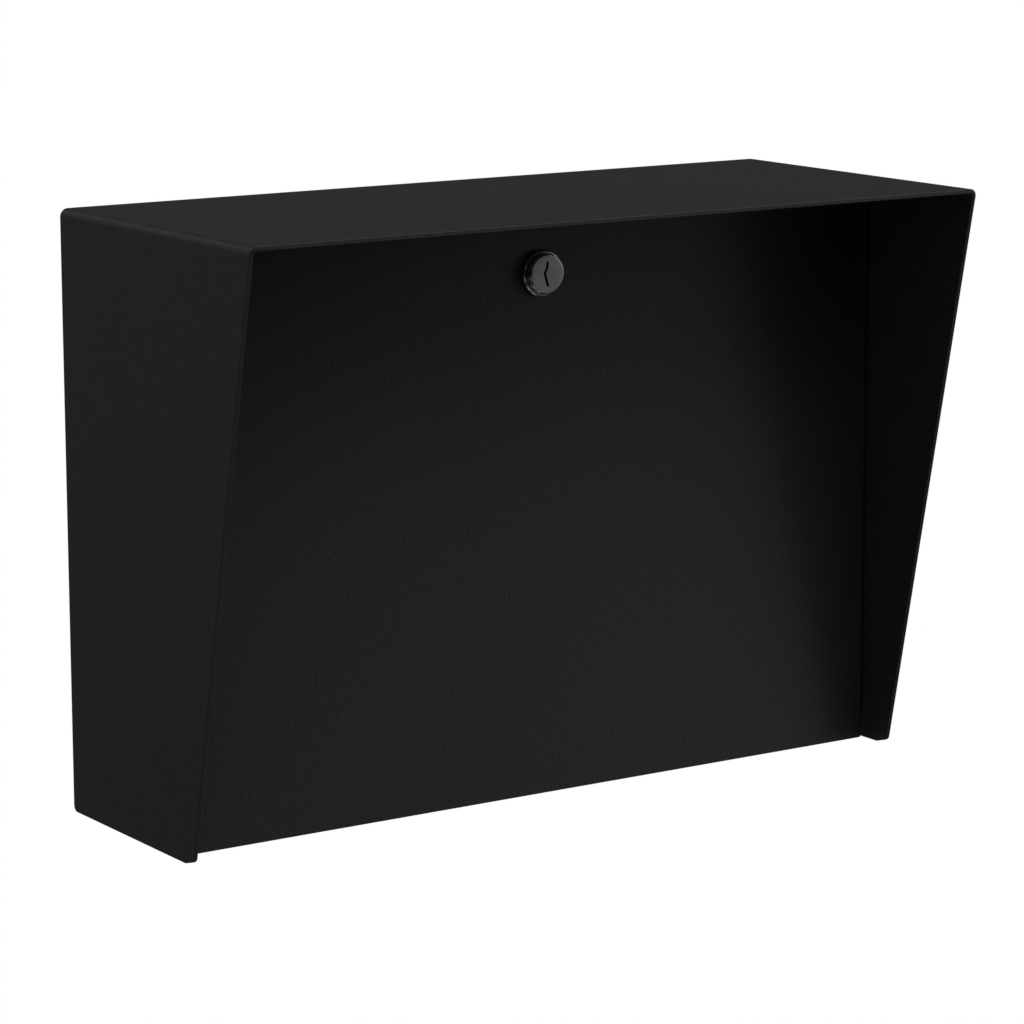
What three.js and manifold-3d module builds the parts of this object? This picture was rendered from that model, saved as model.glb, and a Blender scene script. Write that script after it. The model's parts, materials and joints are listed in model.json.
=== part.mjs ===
// A wall mounted mailbox of folded sheet steel: a hood of one bent sheet over a back plate and a
// floor, a drop-down front door on a continuous hinge, and a cam lock that catches a rail.
// Millimetres. The wall face is y = 0 and the box stands in front of it, towards -y. x runs
// across and z runs up. The origin is the middle of the wall face.
import * as THREE from "three";
import { mergeVertices } from "three/addons/utils/BufferGeometryUtils.js";
import Module from "manifold-3d";

const wasm = await Module();
wasm.setup();

// ---- Driving dimensions ---------------------------------------------------------------------

// The box
const boxWidth = 355.6;
const boxHeight = 254;
const topDepth = 155.5; // wall to the front edge of the brow
const bottomDepth = 102.5; // wall to where the sloped front edge reaches the bottom
const doorDepth = 87.3; // wall to the front face of the door
const sheet = 1.9; // 14 gauge steel
const bendInside = 1.6; // inside radius of the hood's two bends
const backCornerRadius = 2.7; // bottom back corner of each side
const toeLength = 7; // the bottom edge rises over this length to the front edge
const toeRise = 2;
const toeRadius = 2.5;

// Clearances
const seatGap = 0.3; // between pieces that touch, are welded or are screwed together
const doorSideGap = 0.8; // door to each side
const boltClearance = 0.25; // round a screw in its hole, on the radius
const runningClearance = 0.1; // round a turning piece, on the radius

// Back plate and floor
const backFlange = 15;
const panCornerRadius = 3.2;
const wallHoleRadius = 3.5;
const wallHoleInsetX = 50; // from each side of the box
const wallHoleInsetZ = 38; // from the top and the bottom of the box
const floorFlange = 12;
const floorFrontGap = 2.4; // hinge axis to the floor's front edge
const weepHoleRadius = 3;
const weepHoleSpacing = 110;
const weepHoleY = -30;

// Door
const slotHeight = 6.4; // letter slot between the door's top edge and the hood
const doorBendInside = 0.6;
const doorBottomLift = 0.2; // door's bottom edge above the sides' bottom edge
const returnRelief = 12; // the side returns stop this far above the bottom edge

// Door stops and the rail the cam catches
const stopFace = 13.6; // width of the stop that faces the door
const stopLeg = 20; // depth of the leg welded to the side
const railLeg = 15.4; // depth of the rail's sill
const railClearance = 1.5; // lock barrel to the rail's lower edge
const camClearance = 2; // cam to the back of the rail
const bumperThickness = 2.5;
const bumperWidth = 8;
const bumperLength = 40;
const bumperZ = 60;

// Continuous hinge
const hingeInset = 4.7; // from each side edge of the door to the end of the hinge
const knuckleCount = 13;
const knuckleGap = 0.3;
const hingeLeaf = 1.2; // leaf thickness
const pinRadius = 1.6;
const doorLeafHeight = 26;
const bodyLeafDepth = 23;
const hingeScrewCount = 5;
const hingeScrewInset = 30; // from each end of the hinge to the nearest screw
const hingeScrewOffset = 14; // hinge axis to the screw row

// M4 pan-head screws and nuts
const screwRadius = 2;
const screwHeadRadius = 3.8;
const screwHeadHeight = 2.3;
const screwLength = 9; // under the head
const screwTip = 0.5; // chamfer at the tip
const headCrown = 0.5; // share of a head's height that is rounded, and that its recess is deep
const recessReach = 0.5; // half length of the cross recess, as a share of the head's radius
const recessSlot = 0.2; // half width of each slot of the recess, as a share of its half length
const nutFlats = 7;
const nutHeight = 3.2;

// Cam lock
const lockDrop = 30.2; // lock axis below the top of the hood
const rimLip = 1.25; // width of the rim round its groove
const rimHeight = 2.4;
const rimRounding = 1;
const rimGroove = 0.9; // depth of the groove round the plug's face
const rimGrooveClearance = 0.2;
const faceRadius = 8.45; // face of the plug
const faceProud = 5.2; // plug face in front of the door
const faceRounding = 0.6;
const barrelRadius = 8;
const barrelFlatDepth = 1; // depth of each of the barrel's two flats
const barrelLength = 16; // from the door's front face
const barrelHoleClearance = 0.15;
const plugWall = 0.9; // wall left between the plug's bore and a flat
const lockNutFlats = 22;
const lockNutHeight = 4;
const lockWasherRadius = 11;
const lockWasherThickness = 1;
const stopWasherThickness = 1;
const stopTabAngle = 30; // degrees
const stopLugLength = 1.5;
const turnAngle = 90; // degrees the key turns
const stopSlack = 1; // degrees to spare at each end of the turn
const tangStep = 1.05; // from the plug's surface in to the tang's corners
const tangClearance = 0.12;
const camThickness = 2;
const camHubRadius = 7.4;
const camTipClearance = 1.8; // cam's tip, turned up, to the underside of the rail's sill
const camWidth = 12;
const camTipRadius = 2.5;
const camWasherRadius = 6;
const camWasherThickness = 1;
const camScrewRadius = 2.4;
const camScrewLength = 9;
const camScrewHeadRadius = 4.4;
const camScrewHeadHeight = 2.6;
const keySlotWidth = 1.3;
const keySlotDepth = 13;
const keySlotLine = [
  // middle line of the keyway from top to bottom: x, and z from the lock axis
  [0, 5.2],
  [-0.25, 2.6],
  [-1.35, 0.5],
  [-0.85, -1.6],
  [0.25, -5.2],
];

// How finely curves are cut
const arcSteps = 4; // steps in a quarter bend
const roundSides = 20; // sides of holes, the hinge and its pin
const lockSides = 32; // sides of the lock's round pieces
const screwSides = 14; // sides of screws
const sectorStep = 10; // degrees between the points of a sector's arc
const overrun = 1; // how far a cutter passes the face it cuts

// ---- Places that follow from the driving dimensions -----------------------------------------

const halfWidth = boxWidth / 2;
const topZ = boxHeight / 2;
const bottomZ = -boxHeight / 2;
const insideX = halfWidth - sheet;
const insideTopZ = topZ - sheet;
const weldX = insideX - seatGap; // half width of what is welded between the sides
const weldTopZ = insideTopZ - seatGap;

const doorFrontY = -doorDepth;
const doorBackY = doorFrontY + sheet;
const doorX = insideX - doorSideGap;
const doorTopZ = insideTopZ - slotHeight;
const doorBottomZ = bottomZ + doorBottomLift;

const boreRadius = pinRadius + runningClearance;
const knuckleRadius = boreRadius + hingeLeaf;
const hingeY = doorBackY + seatGap + knuckleRadius;
const hingeZ = bottomZ + seatGap + knuckleRadius;
const hingeHalf = doorX - hingeInset;
const hingeLength = 2 * hingeHalf;
const hingeScrewSpacing = (hingeLength - 2 * hingeScrewInset) / (hingeScrewCount - 1);

const bodyLeafTopZ = hingeZ + knuckleRadius;
const bodyLeafBottomZ = bodyLeafTopZ - hingeLeaf;
const floorBottomZ = bodyLeafTopZ + seatGap;
const floorTopZ = floorBottomZ + sheet;
const floorFrontY = hingeY + floorFrontGap;
const floorBackY = -sheet - seatGap;
const screwY = hingeY + hingeScrewOffset;

const lockZ = topZ - lockDrop;
const grooveRadius = faceRadius + rimGrooveClearance;
const rimRadius = grooveRadius + rimLip;
const barrelFlat = barrelRadius - barrelFlatDepth; // axis to each flat
const plugRadius = barrelFlat - plugWall - runningClearance;
const tangSize = Math.SQRT2 * (plugRadius - tangStep);
const stopWasherRadius = plugRadius;
const stopTabRadius = barrelRadius - runningClearance;
const barrelEndY = doorFrontY + barrelLength;
const rimBackY = doorFrontY - seatGap;
const rimFrontY = rimBackY - rimHeight;
const grooveFloorY = rimFrontY + rimGroove;
const faceFrontY = doorFrontY - faceProud;
const stopWasherFrontY = barrelEndY + seatGap;
const camFrontY = Math.max(stopWasherFrontY + stopWasherThickness, barrelEndY + stopLugLength) + seatGap;
const camBackY = camFrontY + camThickness;
const camWasherFrontY = camBackY + seatGap;
const camHeadFrontY = camWasherFrontY + camWasherThickness + seatGap;

const railBackY = camFrontY - camClearance;
const railFrontY = railBackY - sheet;
const railBottomZ = lockZ + barrelRadius + railClearance;
const railTopZ = doorTopZ - doorBottomLift;
const camReach = railTopZ - sheet - camTipClearance - lockZ; // lock axis to the cam's tip
const bumperBackY = railFrontY - seatGap;
const bumperFrontY = bumperBackY - bumperThickness;
const returnBackY = bumperFrontY - seatGap;

// ---- Geometry helpers -----------------------------------------------------------------------

const degree = Math.PI / 180;

// A closed outline from corners [a, b, radius], where a radius rounds that corner with an arc.
function outline(corners) {
  const shape = new THREE.Shape();
  corners.forEach(([a, b, radius = 0], i) => {
    const corner = new THREE.Vector2(a, b);
    if (radius === 0) {
      if (i === 0) shape.moveTo(a, b);
      else shape.lineTo(a, b);
      return;
    }
    const before = corners[(i + corners.length - 1) % corners.length];
    const after = corners[(i + 1) % corners.length];
    const back = new THREE.Vector2(before[0], before[1]).sub(corner).normalize();
    const ahead = new THREE.Vector2(after[0], after[1]).sub(corner).normalize();
    const half = Math.acos(back.dot(ahead)) / 2;
    const middle = back.clone().add(ahead).normalize();
    const centre = corner.clone().addScaledVector(middle, radius / Math.sin(half));
    const start = corner.clone().addScaledVector(back, radius / Math.tan(half));
    const end = corner.clone().addScaledVector(ahead, radius / Math.tan(half));
    const startAngle = Math.atan2(start.y - centre.y, start.x - centre.x);
    const endAngle = Math.atan2(end.y - centre.y, end.x - centre.x);
    const clockwise = back.cross(ahead) > 0;
    if (i === 0) shape.moveTo(start.x, start.y);
    else shape.lineTo(start.x, start.y);
    shape.absarc(centre.x, centre.y, radius, startAngle, endAngle, clockwise);
  });
  shape.closePath();
  return shape;
}

// The four corners of a rectangle, with a radius for each, starting at its lowest corner.
function rectangle([a0, a1], [b0, b1], radii = [0, 0, 0, 0]) {
  return [
    [a0, b0, radii[0]],
    [a1, b0, radii[1]],
    [a1, b1, radii[2]],
    [a0, b1, radii[3]],
  ];
}

function polygon(sides, radius, startAngle = 0) {
  return Array.from({ length: sides }, (_, i) => {
    const angle = startAngle + (i / sides) * 2 * Math.PI;
    return [radius * Math.cos(angle), radius * Math.sin(angle)];
  });
}

function moved(corners, da, db) {
  return corners.map(([a, b, radius]) => [a + da, b + db, radius]);
}

function toSolid(geometry) {
  const bare = geometry.clone();
  bare.deleteAttribute("normal");
  bare.deleteAttribute("uv");
  const merged = mergeVertices(bare);
  return new wasm.Manifold(
    new wasm.Mesh({
      numProp: 3,
      vertProperties: new Float32Array(merged.attributes.position.array),
      triVerts: new Uint32Array(merged.index.array),
    })
  );
}

function toGeometry(solid) {
  const mesh = solid.getMesh();
  const geometry = new THREE.BufferGeometry();
  geometry.setAttribute("position", new THREE.BufferAttribute(new Float32Array(mesh.vertProperties), 3));
  geometry.setIndex(new THREE.BufferAttribute(new Uint32Array(mesh.triVerts), 1));
  const shaded = geometry.toNonIndexed();
  shaded.computeVertexNormals();
  return shaded;
}

// Which row axes a prism's outline and length run along. Each set is right handed.
const prismAxes = {
  x: [new THREE.Vector3(0, 1, 0), new THREE.Vector3(0, 0, 1), new THREE.Vector3(1, 0, 0)],
  y: [new THREE.Vector3(1, 0, 0), new THREE.Vector3(0, 0, 1), new THREE.Vector3(0, -1, 0)],
  z: [new THREE.Vector3(1, 0, 0), new THREE.Vector3(0, 1, 0), new THREE.Vector3(0, 0, 1)],
};

// A straight solid along x, y or z. Its outline lies in (y, z), (x, z) or (x, y).
function prism(axis, corners, [from, to]) {
  const geometry = new THREE.ExtrudeGeometry(outline(corners), {
    depth: to - from,
    bevelEnabled: false,
    curveSegments: arcSteps,
  });
  geometry.translate(0, 0, axis === "y" ? -to : from);
  geometry.applyMatrix4(new THREE.Matrix4().makeBasis(...prismAxes[axis]));
  return toSolid(geometry);
}

function block(x, y, z) {
  return prism("z", rectangle(x, y), z);
}

// A round bar along one axis, through the point given by its two other coordinates.
function bar(axis, radius, [a, b], span, sides = roundSides) {
  return prism(axis, moved(polygon(sides, radius), a, b), span);
}

// A solid turned about the y axis of the lock, from a closed outline of corners [radius, y].
function turned(corners, sides = lockSides) {
  const points = outline(corners).getPoints(arcSteps);
  points.push(points[0].clone());
  const geometry = new THREE.LatheGeometry(points, sides);
  geometry.translate(0, 0, lockZ);
  return toSolid(geometry);
}

function joined(solids) {
  return solids.reduce((whole, solid) => whole.add(solid));
}

function without(solid, cutters) {
  return cutters.reduce((rest, cutter) => rest.subtract(cutter), solid);
}

// ---- Finishes -------------------------------------------------------------------------------

const powderCoat = { color: 0x1b1b1b, roughness: 0.62, metalness: 0 };
const zincPlate = { color: 0xb4b6b8, roughness: 0.38, metalness: 0.9 };
const satinNickel = { color: 0xa09e99, roughness: 0.28, metalness: 0.9 };
const rubber = { color: 0x101010, roughness: 0.9, metalness: 0 };

const mailbox = new THREE.Group();

function addPiece(name, finish, solid) {
  const mesh = new THREE.Mesh(toGeometry(solid), new THREE.MeshStandardMaterial(finish));
  mesh.name = name;
  mailbox.add(mesh);
}

// ---- The box --------------------------------------------------------------------------------

// One sheet folded over the top and both sides, cut to the sloping profile of the sides.
function hoodWrap() {
  const outside = bendInside + sheet;
  const fold = prism(
    "y",
    [
      [-halfWidth, bottomZ],
      [-halfWidth, topZ, outside],
      [halfWidth, topZ, outside],
      [halfWidth, bottomZ],
      [insideX, bottomZ],
      [insideX, insideTopZ, bendInside],
      [-insideX, insideTopZ, bendInside],
      [-insideX, bottomZ],
    ],
    [-topDepth, 0]
  );
  const slope = (topDepth - bottomDepth) / boxHeight;
  const toeY = -bottomDepth - slope * toeRise;
  const profile = prism(
    "x",
    [
      [0, topZ],
      [0, bottomZ, backCornerRadius],
      [toeY + toeLength, bottomZ],
      [toeY, bottomZ + toeRise, toeRadius],
      [-topDepth, topZ],
    ],
    [-halfWidth, halfWidth]
  );
  return fold.intersect(profile);
}

// A pan with its plate against the wall and a flange forward along all four edges.
function backPlate() {
  const bottom = bottomZ + seatGap;
  const outside = bendInside + sheet;
  const shell = (inset, radius, frontY, backY) =>
    prism(
      "y",
      rectangle(
        [-weldX + inset, weldX - inset],
        [bottom + inset, weldTopZ - inset],
        Array(4).fill(panCornerRadius - inset)
      ),
      [frontY, backY]
    )
      .intersect(
        prism(
          "x",
          rectangle([frontY, backY], [bottom + inset, weldTopZ - inset], [0, radius, radius, 0]),
          [-weldX, weldX]
        )
      )
      .intersect(
        prism(
          "z",
          rectangle([-weldX + inset, weldX - inset], [frontY, backY], [0, 0, radius, radius]),
          [bottom, weldTopZ]
        )
      );
  const pan = shell(0, outside, -backFlange, 0).subtract(
    shell(sheet, bendInside, -backFlange - sheet, -sheet)
  );
  const holes = [-1, 1].flatMap((sideX) =>
    [-1, 1].map((sideZ) =>
      bar(
        "y",
        wallHoleRadius,
        [sideX * (halfWidth - wallHoleInsetX), sideZ * (topZ - wallHoleInsetZ)],
        [-backFlange, sheet]
      )
    )
  );
  return without(pan, holes);
}

function hingeScrewPlaces() {
  return Array.from(
    { length: hingeScrewCount },
    (_, i) => (i - (hingeScrewCount - 1) / 2) * hingeScrewSpacing
  );
}

// A pan with flanges up along the back and both sides, notched round its neighbours' flanges.
function floorPlate() {
  const outside = bendInside + sheet;
  const top = floorBottomZ + floorFlange;
  const shell = (inset, radius, frontY, topLimit) =>
    prism(
      "y",
      rectangle([-weldX + inset, weldX - inset], [floorBottomZ + inset, topLimit], [radius, radius, 0, 0]),
      [frontY, floorBackY - inset]
    ).intersect(
      prism(
        "x",
        rectangle([frontY, floorBackY - inset], [floorBottomZ + inset, topLimit], [0, radius, 0, 0]),
        [-weldX, weldX]
      )
    );
  const pan = shell(0, outside, floorFrontY, top).subtract(
    shell(sheet, bendInside, floorFrontY - sheet, top + sheet)
  );
  const notchX = weldX - sheet - bendInside - seatGap;
  const height = [floorBottomZ - sheet, top + sheet];
  const notches = [
    [notchX, weldX + sheet],
    [-weldX - sheet, -notchX],
  ].flatMap((x) => [
    block(x, [-backFlange - seatGap, 0], height),
    block(x, [floorFrontY - sheet, railFrontY + stopLeg + seatGap], height),
  ]);
  const screwHoles = hingeScrewPlaces().map((x) =>
    bar("z", screwRadius + boltClearance, [x, screwY], height)
  );
  const weepHoles = [-1, 0, 1].map((i) => bar("z", weepHoleRadius, [i * weepHoleSpacing, weepHoleY], height));
  return without(pan, [...notches, ...screwHoles, ...weepHoles]);
}

// An angle welded inside one side, which the door closes against.
function jamb(side) {
  const outside = bendInside + sheet;
  const corners = [
    [weldX, railFrontY, outside],
    [weldX, railFrontY + stopLeg],
    [weldX - sheet, railFrontY + stopLeg],
    [weldX - sheet, railFrontY + sheet, bendInside],
    [weldX - stopFace, railFrontY + sheet],
    [weldX - stopFace, railFrontY],
  ].map(([x, y, radius]) => [side * x, y, radius]);
  return prism("z", corners, [floorTopZ + seatGap, railBottomZ - seatGap]);
}

// An angle across the box behind the door's top edge: the sill of the slot and the cam's catch.
function strikeRail() {
  const outside = bendInside + sheet;
  return prism(
    "x",
    [
      [railFrontY, railBottomZ],
      [railBackY, railBottomZ],
      [railBackY, railTopZ - sheet, bendInside],
      [railFrontY + railLeg, railTopZ - sheet],
      [railFrontY + railLeg, railTopZ],
      [railFrontY, railTopZ, outside],
    ],
    [-weldX, weldX]
  );
}

function bumper(side) {
  const outerX = side * (weldX - bendInside);
  const innerX = side * (weldX - bendInside - bumperWidth);
  return block(
    [Math.min(outerX, innerX), Math.max(outerX, innerX)],
    [bumperFrontY, bumperBackY],
    [bumperZ - bumperLength / 2, bumperZ + bumperLength / 2]
  );
}

addPiece("hood_wrap", powderCoat, hoodWrap());
addPiece("back_plate", powderCoat, backPlate());
addPiece("floor_plate", powderCoat, floorPlate());
addPiece("left_jamb", powderCoat, jamb(-1));
addPiece("right_jamb", powderCoat, jamb(1));
addPiece("strike_rail", powderCoat, strikeRail());
addPiece("left_bumper", rubber, bumper(-1));
addPiece("right_bumper", rubber, bumper(1));

// ---- The door -------------------------------------------------------------------------------

// The lock barrel's section, round with two flats, grown by a clearance.
function barrelBar(grow, span) {
  const flat = barrelFlat + grow;
  const radius = barrelRadius + grow;
  return bar("y", radius, [0, lockZ], span, lockSides).intersect(
    block([-flat, flat], span, [lockZ - radius, lockZ + radius])
  );
}

// A flat front with returns folded back along the top and both sides.
function frontDoor() {
  const outside = doorBendInside + sheet;
  const shell = (inset, radius, bottom, backY) =>
    prism(
      "z",
      rectangle([-doorX + inset, doorX - inset], [doorFrontY + inset, backY], [radius, radius, 0, 0]),
      [bottom, doorTopZ - inset]
    ).intersect(
      prism(
        "x",
        rectangle([doorFrontY + inset, backY], [bottom, doorTopZ - inset], [0, 0, 0, radius]),
        [-doorX, doorX]
      )
    );
  const pan = shell(0, outside, doorBottomZ, returnBackY).subtract(
    shell(sheet, doorBendInside, doorBottomZ - sheet, returnBackY + sheet)
  );
  const relief = block(
    [-doorX - sheet, doorX + sheet],
    [doorBackY, returnBackY + sheet],
    [doorBottomZ - sheet, doorBottomZ + returnRelief]
  );
  const lockHole = barrelBar(barrelHoleClearance, [doorFrontY - sheet, doorBackY + sheet]);
  return without(pan, [relief, lockHole]);
}

// The knuckles that belong to one leaf: every second stretch of the hinge's length.
function knuckleSpans(first) {
  const pitch = hingeLength / knuckleCount;
  const spans = [];
  for (let i = first; i < knuckleCount; i += 2) {
    const start = -hingeHalf + i * pitch;
    spans.push([start + knuckleGap / 2, start + pitch - knuckleGap / 2]);
  }
  return spans;
}

// One hinge leaf: a plate, and for each knuckle a tube on the hinge axis with a tab to the plate.
function hingeLeafSolid(first, plate, tabY, tabZ) {
  const spans = knuckleSpans(first);
  const axis = [hingeY, hingeZ];
  const tubes = spans.map((span) => bar("x", knuckleRadius, axis, span));
  const tabs = spans.map((span) => block(span, tabY, tabZ));
  return joined([plate, ...tabs, ...tubes]).subtract(
    bar("x", boreRadius, axis, [-hingeHalf - sheet, hingeHalf + sheet])
  );
}

function doorLeaf() {
  const y = [hingeY - knuckleRadius, hingeY - knuckleRadius + hingeLeaf];
  const plateBottom = hingeZ + knuckleRadius + seatGap;
  const plate = block([-hingeHalf, hingeHalf], y, [plateBottom, plateBottom + doorLeafHeight]);
  return hingeLeafSolid(1, plate, y, [hingeZ, plateBottom + hingeLeaf]);
}

function bodyLeaf() {
  const z = [bodyLeafBottomZ, bodyLeafTopZ];
  const plateFront = hingeY + knuckleRadius + seatGap;
  const plate = block([-hingeHalf, hingeHalf], [plateFront, hingeY + bodyLeafDepth], z);
  const leaf = hingeLeafSolid(0, plate, [hingeY, plateFront + hingeLeaf], z);
  const holes = hingeScrewPlaces().map((x) =>
    bar("z", screwRadius + boltClearance, [x, screwY], [bodyLeafBottomZ - sheet, bodyLeafTopZ + sheet])
  );
  return without(leaf, holes);
}

// A cross recess cut into a screw head that faces down, drawn round the z axis.
function crossRecess(reach, topOfRecess, bottomOfHead) {
  const halfSlot = reach * recessSlot;
  return block([-reach, reach], [-halfSlot, halfSlot], [bottomOfHead, topOfRecess]).add(
    block([-halfSlot, halfSlot], [-reach, reach], [bottomOfHead, topOfRecess])
  );
}

// A pan-head screw pointing up, with the underside of its head at z = 0.
function panHeadScrew(radius, length, headRadius, headHeight) {
  const crown = headHeight * headCrown;
  const points = outline([
    [0, -headHeight],
    [headRadius, -headHeight, crown],
    [headRadius, 0],
    [radius, 0],
    [radius, length - screwTip],
    [radius - screwTip, length],
    [0, length],
  ]).getPoints(arcSteps);
  points.push(points[0].clone());
  const geometry = new THREE.LatheGeometry(points, screwSides);
  geometry.rotateX(Math.PI / 2);
  const recess = crossRecess(headRadius * recessReach, crown - headHeight, -headHeight - overrun);
  return toSolid(geometry).subtract(recess);
}

// A hexagon nut along z with its bottom face at z = 0.
function hexNut(flats, height, boreOfNut, boreSides = roundSides) {
  const acrossCorners = flats / Math.cos(Math.PI / 6);
  return prism("z", polygon(6, acrossCorners / 2), [0, height]).subtract(
    bar("z", boreOfNut, [0, 0], [-overrun, height + overrun], boreSides)
  );
}

addPiece("front_door", powderCoat, frontDoor());
addPiece("hinge_door_leaf", zincPlate, doorLeaf());
addPiece("hinge_body_leaf", zincPlate, bodyLeaf());
addPiece("hinge_pin", zincPlate, bar("x", pinRadius, [hingeY, hingeZ], [-hingeHalf, hingeHalf]));

hingeScrewPlaces().forEach((x, i) => {
  const screw = panHeadScrew(screwRadius, screwLength, screwHeadRadius, screwHeadHeight);
  const nut = hexNut(nutFlats, nutHeight, screwRadius + runningClearance);
  addPiece(`hinge_screw_${i + 1}`, zincPlate, screw.translate([x, screwY, bodyLeafBottomZ - seatGap]));
  addPiece(`hinge_nut_${i + 1}`, zincPlate, nut.translate([x, screwY, floorTopZ + seatGap]));
});

// ---- The cam lock ---------------------------------------------------------------------------

// A slice of a disc round the lock axis, between two angles from +x towards +z, in degrees.
function sector(radius, fromAngle, toAngle, span) {
  const steps = Math.ceil((toAngle - fromAngle) / sectorStep);
  const rim = Array.from({ length: steps + 1 }, (_, i) => {
    const angle = (fromAngle + ((toAngle - fromAngle) * i) / steps) * degree;
    return [radius * Math.cos(angle), lockZ + radius * Math.sin(angle)];
  });
  return prism("y", [[0, lockZ], ...rim], span);
}

// At rest the cam and the stop washer's tab point to -x. The key turns them up to +z.
const restAngle = 180;

// The rim in front of the door, the flatted barrel through it, and the lug that stops the turn.
function lockHousing() {
  const rim = turned([
    [0, rimFrontY],
    [rimRadius, rimFrontY, rimRounding],
    [rimRadius, rimBackY],
    [0, rimBackY],
  ]);
  const barrel = barrelBar(0, [rimBackY - seatGap, barrelEndY]);
  const groove = bar("y", grooveRadius, [0, lockZ], [rimFrontY - overrun, grooveFloorY], lockSides);
  const bore = bar(
    "y",
    plugRadius + runningClearance,
    [0, lockZ],
    [rimFrontY - overrun, barrelEndY + stopLugLength + overrun],
    lockSides
  );
  const tabHalf = stopTabAngle / 2 + stopSlack;
  const lugStart = restAngle + tabHalf;
  const lugEnd = restAngle - turnAngle - tabHalf + 360;
  const lugSpan = [barrelEndY - seatGap, barrelEndY + stopLugLength];
  const washerSpace = [barrelEndY, lugSpan[1] + overrun];
  const lug = barrelBar(0, lugSpan)
    .intersect(sector(2 * barrelRadius, lugStart, lugEnd, lugSpan))
    .subtract(bar("y", stopWasherRadius + seatGap, [0, lockZ], washerSpace, lockSides));
  return without(joined([rim, barrel, lug]), [groove, bore]);
}

function tangSolid(grow, span) {
  const half = tangSize / 2 + grow;
  return block([-half, half], span, [lockZ - half, lockZ + half]);
}

// The square hole that fits the tang, through a piece between two places along the lock axis.
function tangHole([frontY, backY]) {
  return tangSolid(tangClearance, [frontY - overrun, backY + overrun]);
}

// The keyway: a slot of even width along a line with a sideways kink.
function keySlot() {
  const half = keySlotWidth / 2;
  const left = keySlotLine.map(([x, z]) => [x - half, z]);
  const right = keySlotLine.map(([x, z]) => [x + half, z]).reverse();
  const span = [faceFrontY - overrun, faceFrontY + keySlotDepth];
  return prism("y", moved([...left, ...right], 0, lockZ), span);
}

// The turning plug: a round face with the keyway, a body in the barrel and a square tang.
function lockPlug() {
  const faceBackY = grooveFloorY - seatGap;
  const face = turned([
    [0, faceFrontY],
    [faceRadius, faceFrontY, faceRounding],
    [faceRadius, faceBackY],
    [0, faceBackY],
  ]);
  const body = bar("y", plugRadius, [0, lockZ], [faceBackY - overrun, barrelEndY], lockSides);
  const tang = tangSolid(0, [barrelEndY - overrun, camBackY]);
  const screwHole = bar(
    "y",
    camScrewRadius + runningClearance,
    [0, lockZ],
    [camHeadFrontY - camScrewLength - seatGap, camBackY + overrun]
  );
  return without(joined([face, body, tang]), [keySlot(), screwHole]);
}

// The washer that turns with the plug and stops against the ends of the housing's lug.
function stopWasher() {
  const span = [stopWasherFrontY, stopWasherFrontY + stopWasherThickness];
  const disc = bar("y", stopWasherRadius, [0, lockZ], span, lockSides);
  const tab = sector(stopTabRadius, restAngle - stopTabAngle / 2, restAngle + stopTabAngle / 2, span);
  return disc.add(tab).subtract(tangHole(span));
}

function lockCam() {
  const span = [camFrontY, camBackY];
  const hub = bar("y", camHubRadius, [0, lockZ], span, lockSides);
  const arm = prism(
    "y",
    rectangle(
      [-camReach, 0],
      [lockZ - camWidth / 2, lockZ + camWidth / 2],
      [camTipRadius, 0, 0, camTipRadius]
    ),
    span
  );
  return hub.add(arm).subtract(tangHole(span));
}

// A flat ring round the lock axis.
function ring(outerRadius, innerRadius, frontY, thickness) {
  const span = [frontY, frontY + thickness];
  return bar("y", outerRadius, [0, lockZ], span, lockSides).subtract(
    bar("y", innerRadius, [0, lockZ], [frontY - overrun, span[1] + overrun], lockSides)
  );
}

const lockNutWasherFrontY = doorBackY + seatGap;
const lockNutFrontY = lockNutWasherFrontY + lockWasherThickness + seatGap;
const barrelClearRadius = barrelRadius + runningClearance;

// A piece drawn along z with its lower face at z = 0, laid along the lock axis to face +y.
function alongLock(solid, frontY) {
  return solid.rotate([-90, 0, 0]).translate([0, frontY, lockZ]);
}

addPiece("lock_housing", satinNickel, lockHousing());
addPiece(
  "lock_washer",
  zincPlate,
  ring(lockWasherRadius, barrelClearRadius, lockNutWasherFrontY, lockWasherThickness)
);
addPiece(
  "lock_nut",
  zincPlate,
  alongLock(hexNut(lockNutFlats, lockNutHeight, barrelClearRadius, lockSides), lockNutFrontY)
);
addPiece("lock_plug", satinNickel, lockPlug());
addPiece("stop_washer", zincPlate, stopWasher());
addPiece("lock_cam", zincPlate, lockCam());
addPiece(
  "cam_washer",
  zincPlate,
  ring(camWasherRadius, camScrewRadius + boltClearance, camWasherFrontY, camWasherThickness)
);
addPiece(
  "cam_screw",
  zincPlate,
  panHeadScrew(camScrewRadius, camScrewLength, camScrewHeadRadius, camScrewHeadHeight)
    .rotate([90, 0, 0])
    .translate([0, camHeadFrontY, lockZ])
);

export default mailbox;
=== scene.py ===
"""Looks for a wall mounted mailbox of folded sheet steel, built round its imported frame.

Metres throughout. The wall face is y = 0, the box stands in front of it at negative y, x runs
across and z runs up.
"""

import json
import math

import bmesh
import bpy
from mathutils import Matrix, Vector


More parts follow.
